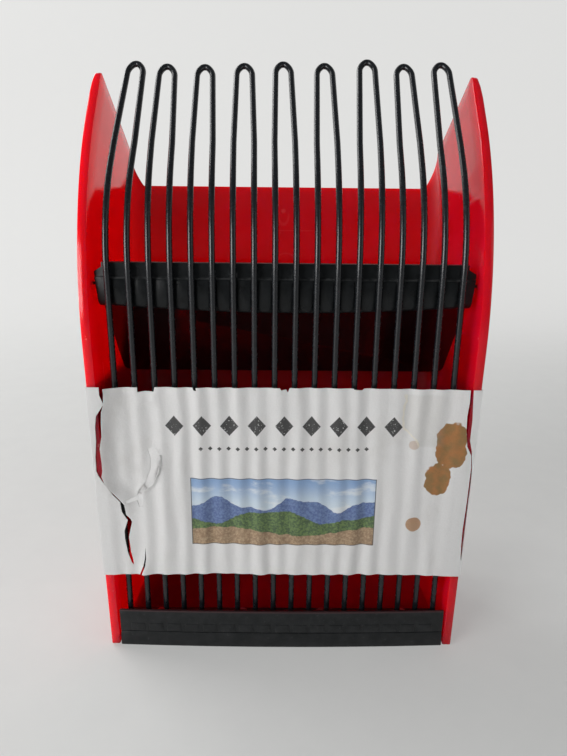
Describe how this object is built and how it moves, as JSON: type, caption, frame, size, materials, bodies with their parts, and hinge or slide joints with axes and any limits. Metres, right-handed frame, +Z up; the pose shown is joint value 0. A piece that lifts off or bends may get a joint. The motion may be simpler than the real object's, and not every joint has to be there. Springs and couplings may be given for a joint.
{
  "type": "berry picker",
  "caption": "Hand scoop with a comb of bent wire tines along one side, a hinged inner flap that keeps berries in, a grip on its roof and a paper sleeve round the body.",
  "frame": {"origin": "middle of the flat face on the back end, where the picker stands", "axes": "+Z up along the tines, +Y from the tines to the roof and handle, +X to the right seen from the tines"},
  "size_m": [0.1446, 0.1033, 0.2248],
  "materials": {
    "shell_red": "glossy",
    "fitting_black": "satin",
    "flap_black": "glossy",
    "handle_black": "fine texture",
    "coated_wire": "satin coating on steel wire",
    "fastener_steel": "zinc plated",
    "sleeve_paper": "printed, worn"
  },
  "bodies": {
    "scoop": {"body_shell": "shell_red", "rear_channel": "fitting_black", "rear_clamp_strip": "fitting_black", "channel_rivets": "fastener_steel", "tine_1": "coated_wire", "tine_2": "coated_wire", "tine_3": "coated_wire", "tine_4": "coated_wire", "tine_5": "coated_wire", "tine_6": "coated_wire", "tine_7": "coated_wire", "tine_8": "coated_wire", "tine_9": "coated_wire", "flap_bar": "fitting_black", "handle": "handle_black", "handle_screws": "fastener_steel", "paper_sleeve": "sleeve_paper"},
    "flap": {"flap": "flap_black"}
  },
  "joints": [
    {"name": "flap_hinge", "type": "hinge", "parent": "scoop", "child": "flap", "pos_m": [0, -0.0202, 0.1405], "axis": [1, 0, 0], "range_deg": [-30, 40], "stiffness_Nm_per_rad": 0.03, "springref_deg": 2.18}
  ]
}
